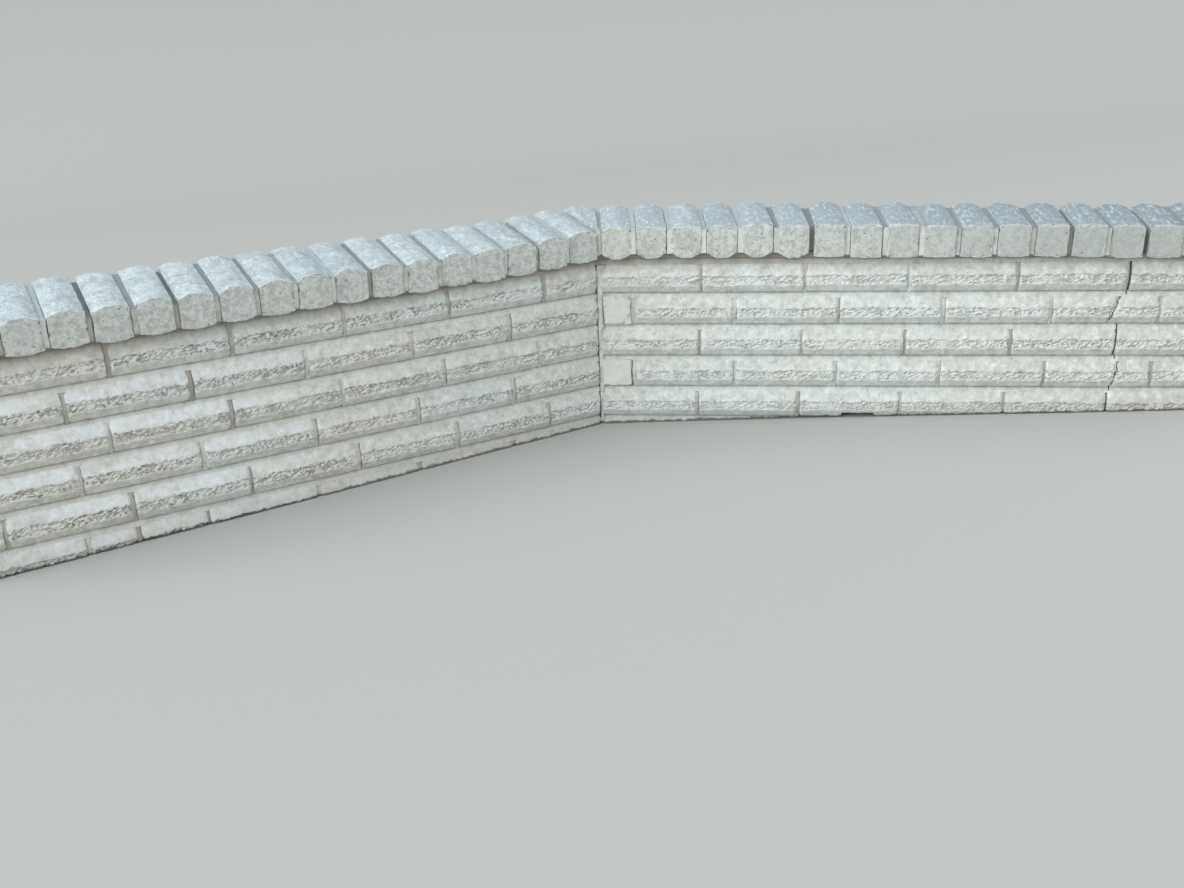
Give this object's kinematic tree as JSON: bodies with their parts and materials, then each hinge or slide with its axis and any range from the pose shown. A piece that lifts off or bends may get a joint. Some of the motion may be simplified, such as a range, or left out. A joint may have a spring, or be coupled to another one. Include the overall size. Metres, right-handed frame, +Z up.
{
  "type": "brick garden wall",
  "caption": "Low painted brick garden wall in two legs that meet at a blunt inside corner, with pitched-face courses under a crowned, fanned brick coping.",
  "frame": {"origin": "on the flat underside, at the foot of the corner, half way through the wall's thickness", "axes": "+X to the right and +Y to the back along the line that halves the corner, +Z up; each leg runs forward by 18 degrees from X"},
  "size_m": [2.463, 0.5802, 0.4863],
  "materials": {
    "painted_facing_brick": "matt off-white paint over pitched clay brick",
    "painted_coping_brick": "matt off-white paint, sandy ends and pitted tops",
    "painted_mortar": "matt painted cement mortar",
    "smooth_closer": "mortar-smeared cut brick, painted",
    "back_brickwork": "plain flush brickwork, painted"
  },
  "bodies": {
    "root": {"corner_coping_wedge": "painted_coping_brick", "left_back_wall": "back_brickwork", "left_coping_1": "painted_coping_brick", "left_coping_2": "painted_coping_brick", "left_coping_3": "painted_coping_brick", "left_coping_4": "painted_coping_brick", "left_coping_5": "painted_coping_brick", "left_coping_6": "painted_coping_brick", "left_coping_mortar": "painted_mortar", "left_course_1": "painted_facing_brick", "left_course_2": "painted_facing_brick", "left_course_3": "painted_facing_brick", "left_course_4": "painted_facing_brick", "left_course_5": "painted_facing_brick", "left_course_6": "painted_facing_brick", "left_mortar": "painted_mortar", "right_back_wall": "back_brickwork", "right_coping_1": "painted_coping_brick", "right_coping_2": "painted_coping_brick", "right_coping_3": "painted_coping_brick", "right_coping_4": "painted_coping_brick", "right_coping_5": "painted_coping_brick", "right_coping_6": "painted_coping_brick", "right_coping_mortar": "painted_mortar", "right_corner_closer_3": "smooth_closer", "right_corner_closer_5": "smooth_closer", "right_course_1": "painted_facing_brick", "right_course_2": "painted_facing_brick", "right_course_3": "painted_facing_brick", "right_course_4": "painted_facing_brick", "right_course_5": "painted_facing_brick", "right_course_6": "painted_facing_brick", "right_mortar": "painted_mortar"}
  },
  "joints": []
}
